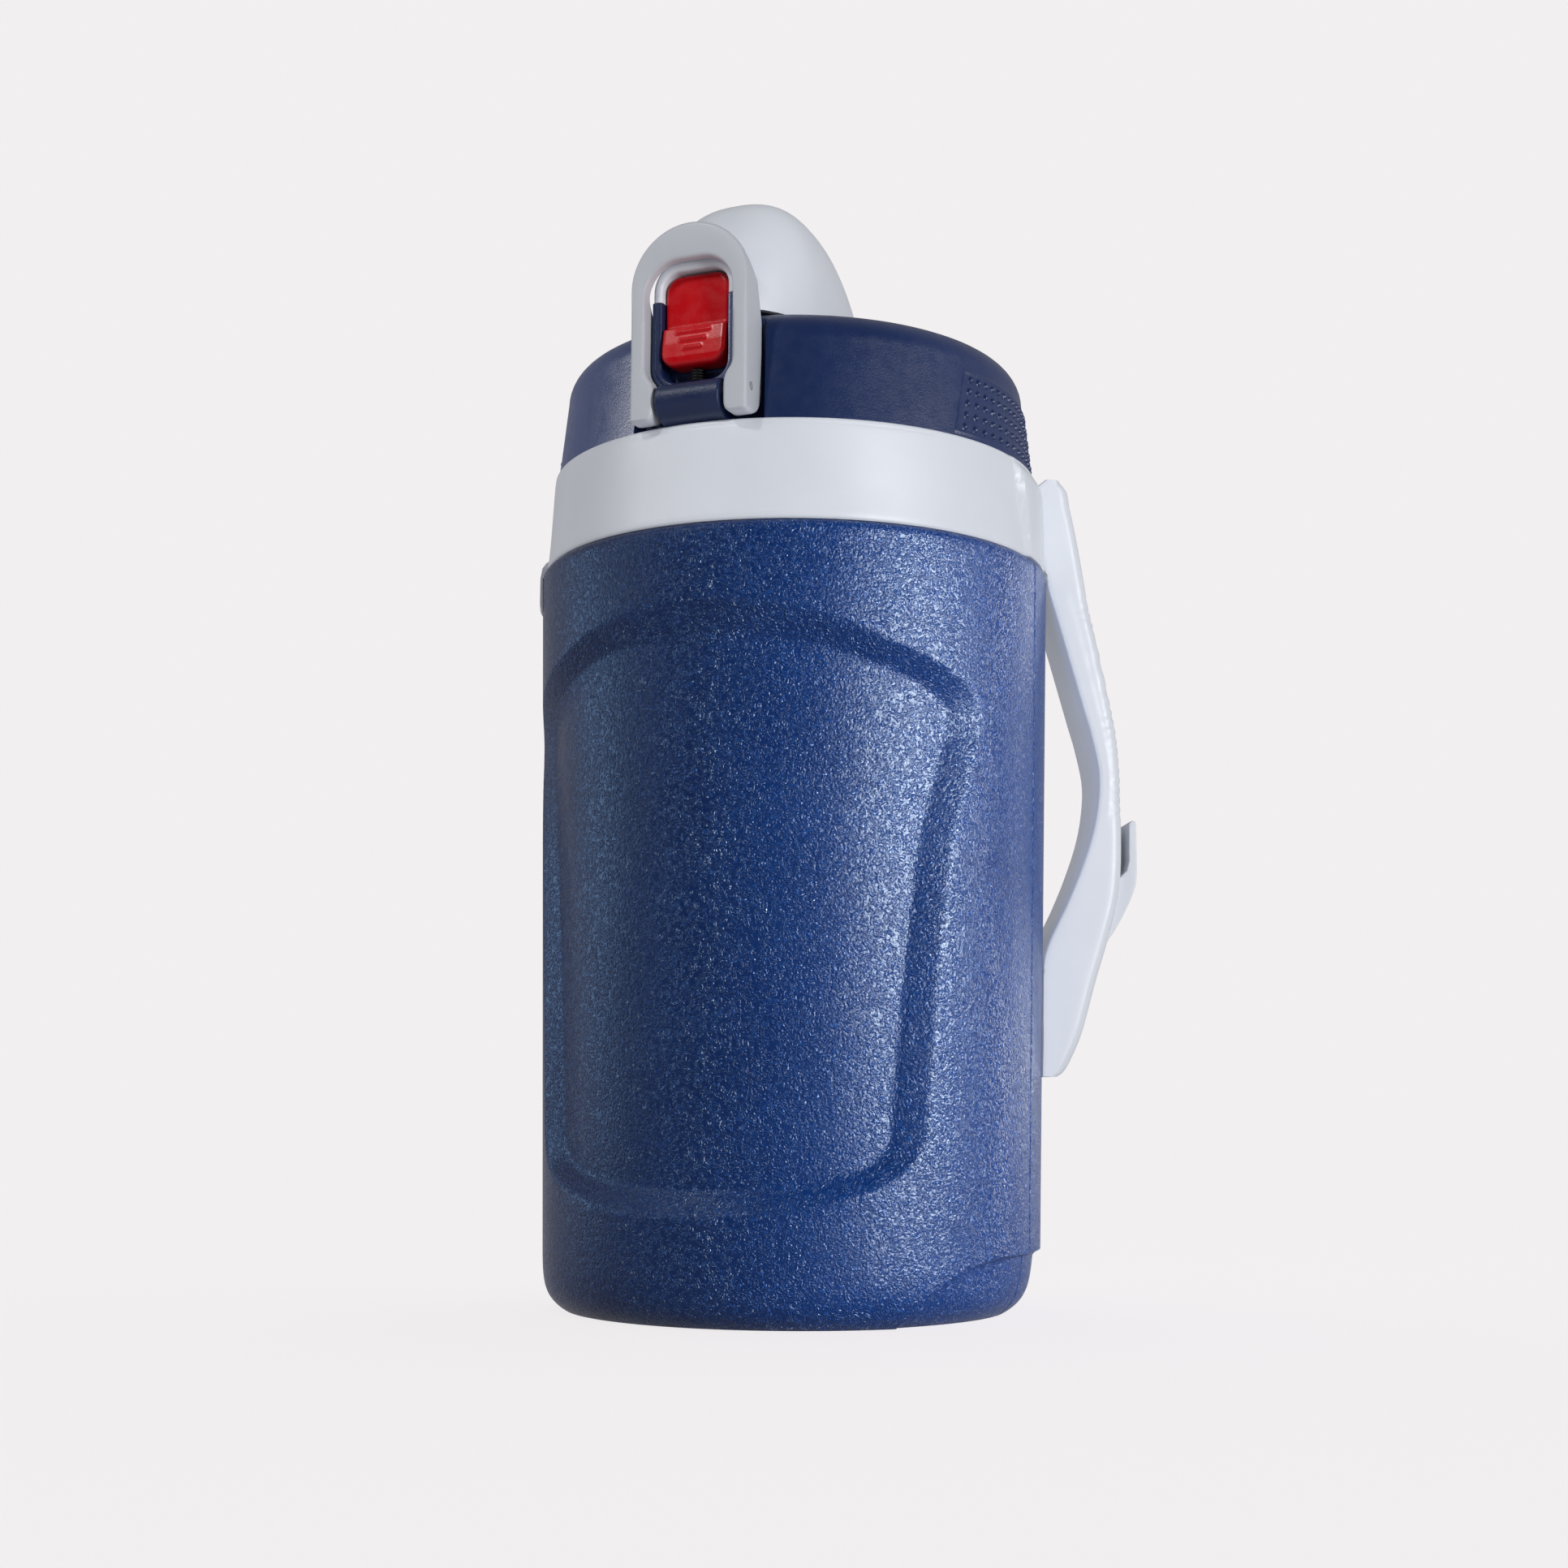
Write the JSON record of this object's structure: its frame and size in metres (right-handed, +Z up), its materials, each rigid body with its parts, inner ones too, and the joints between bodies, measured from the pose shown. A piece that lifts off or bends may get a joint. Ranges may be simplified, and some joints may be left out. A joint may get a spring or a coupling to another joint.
{
  "type": "insulated water jug",
  "caption": "Foam-insulated water jug with a moulded grip panel, screw lid, flip-up spout cover with a slide button and lock bail, and a swing handle with a hook.",
  "frame": {"origin": "centre of the base, on the surface that the jug stands on", "axes": "+Z up along the jug's axis, +X towards the swing handle, -Y roughly towards the latch and the moulded panel, which face 26 degrees from -Y towards -X"},
  "size_m": [0.1709, 0.1458, 0.3089],
  "materials": {
    "shell_blue": "pebble-grained polyethylene",
    "lid_navy": "fine satin polypropylene",
    "trim_white": "satin polypropylene",
    "button_red": "satin gloss",
    "liner_grey": "smooth food-grade polypropylene",
    "spout_grey": "smooth",
    "foam": "expanded polyurethane foam",
    "seal": "silicone",
    "steel": "drawn wire"
  },
  "bodies": {
    "jug": {"outer_shell": "shell_blue", "foam_insulation": "foam", "inner_liner": "liner_grey", "collar": "trim_white", "base_plugs": "shell_blue", "handle_pin": "steel"},
    "handle": {"side_handle": "trim_white"},
    "lid_seal": {"lid_gasket": "seal"},
    "lid": {"lid_shell": "lid_navy", "hinge_ears": "lid_navy", "lid_liner": "liner_grey", "lid_foam": "foam", "latch_housing": "lid_navy", "bail_pin": "steel", "button_spring": "steel", "spout": "spout_grey", "spout_o_ring": "seal", "vent_valve": "seal", "cover_pin": "steel", "cover_spring": "steel"},
    "cover": {"spout_cover": "trim_white", "mouth_seal": "seal"},
    "bail": {"lock_bail": "trim_white"},
    "button": {"release_button": "button_red"}
  },
  "joints": [
    {"name": "handle_swing", "type": "hinge", "parent": "jug", "child": "handle", "pos_m": [0.0734, 0, 0.2296], "axis": [0, -1, 0], "range_deg": [0, 160]},
    {"name": "lid_lift", "type": "slide", "parent": "jug", "child": "lid_seal", "axis": [0, 0, 1], "range_m": [0, 0.015]},
    {"name": "lid_turn", "type": "hinge", "parent": "lid_seal", "child": "lid", "pos_m": [0, 0, 0.25], "axis": [0, 0, 1], "range_deg": [0, 451]},
    {"name": "cover_flip", "type": "hinge", "parent": "lid", "child": "cover", "pos_m": [0.00833, 0.01708, 0.271], "axis": [-0.8988, 0.4384, 0], "range_deg": [0, 110]},
    {"name": "bail_swing", "type": "hinge", "parent": "lid", "child": "bail", "pos_m": [-0.03047, -0.06247, 0.2415], "axis": [0.8988, -0.4384, 0], "range_deg": [0, 120]},
    {"name": "button_slide", "type": "slide", "parent": "lid", "child": "button", "axis": [0, 0, -1], "range_m": [0, 0.0025], "stiffness_N_per_m": 400, "springref_m": -0.002, "deforming": ["button_spring"]}
  ],
  "couplings": [
    {"joint": "lid_turn", "follows": "lid_lift", "rad_per_m": 523.6}
  ]
}
